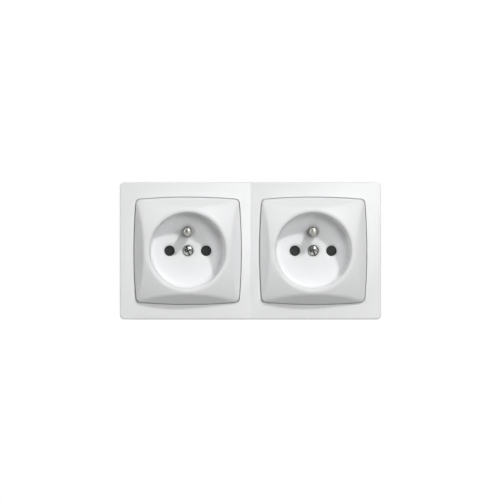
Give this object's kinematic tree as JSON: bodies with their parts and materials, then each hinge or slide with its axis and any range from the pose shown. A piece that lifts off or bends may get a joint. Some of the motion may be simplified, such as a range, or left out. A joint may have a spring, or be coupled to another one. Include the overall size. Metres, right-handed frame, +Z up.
{
  "type": "surface-mounted double socket",
  "caption": "White double wall socket on a surface box: crowned frame, pillow-shaped covers with deep round recesses, pin holes with turning shutters and male earth pins.",
  "frame": {"origin": "centre of the back face, on the wall plane and between the four wall-screw slots", "axes": "+X right along the wall as seen from the front, +Y into the wall, +Z up"},
  "size_m": [0.1356, 0.0409, 0.0712],
  "materials": {
    "housing": "white satin-gloss thermoplastic",
    "box": "white fine-grained thermoplastic",
    "insulator": "light grey moulded insulator",
    "shutter": "dark slate plastic",
    "zinc": "bright zinc-plated steel",
    "nickel": "nickel-plated brass",
    "brass": "plain formed brass",
    "spring_steel": "drawn spring wire"
  },
  "bodies": {
    "housing": {"base_box": "box", "frame": "housing", "left_cover": "housing", "left_cover_screw": "zinc", "left_mechanism": "insulator", "left_rear_plate": "insulator", "left_fixing_screws": "zinc", "left_shutter_spring": "spring_steel", "left_line_contact": "brass", "left_neutral_contact": "brass", "left_earth_pin": "nickel", "left_earth_strip": "brass", "left_terminal_clamps": "nickel", "left_terminal_screws": "zinc", "right_cover": "housing", "right_cover_screw": "zinc", "right_mechanism": "insulator", "right_rear_plate": "insulator", "right_fixing_screws": "zinc", "right_shutter_spring": "spring_steel", "right_line_contact": "brass", "right_neutral_contact": "brass", "right_earth_pin": "nickel", "right_earth_strip": "brass", "right_terminal_clamps": "nickel", "right_terminal_screws": "zinc"},
    "left_shutter": {"left_shutter": "shutter"},
    "right_shutter": {"right_shutter": "shutter"}
  },
  "joints": [
    {"name": "left_shutter_turn", "type": "hinge", "parent": "housing", "child": "left_shutter", "pos_m": [-0.03255, -0.0224, 0], "axis": [0, -1, 0], "range_deg": [0, 38], "stiffness_Nm_per_rad": 0.004, "springref_deg": -5.73, "deforming": ["left_shutter_spring"]},
    {"name": "right_shutter_turn", "type": "hinge", "parent": "housing", "child": "right_shutter", "pos_m": [0.03255, -0.0224, 0], "axis": [0, -1, 0], "range_deg": [0, 38], "stiffness_Nm_per_rad": 0.004, "springref_deg": -5.73, "deforming": ["right_shutter_spring"]}
  ]
}
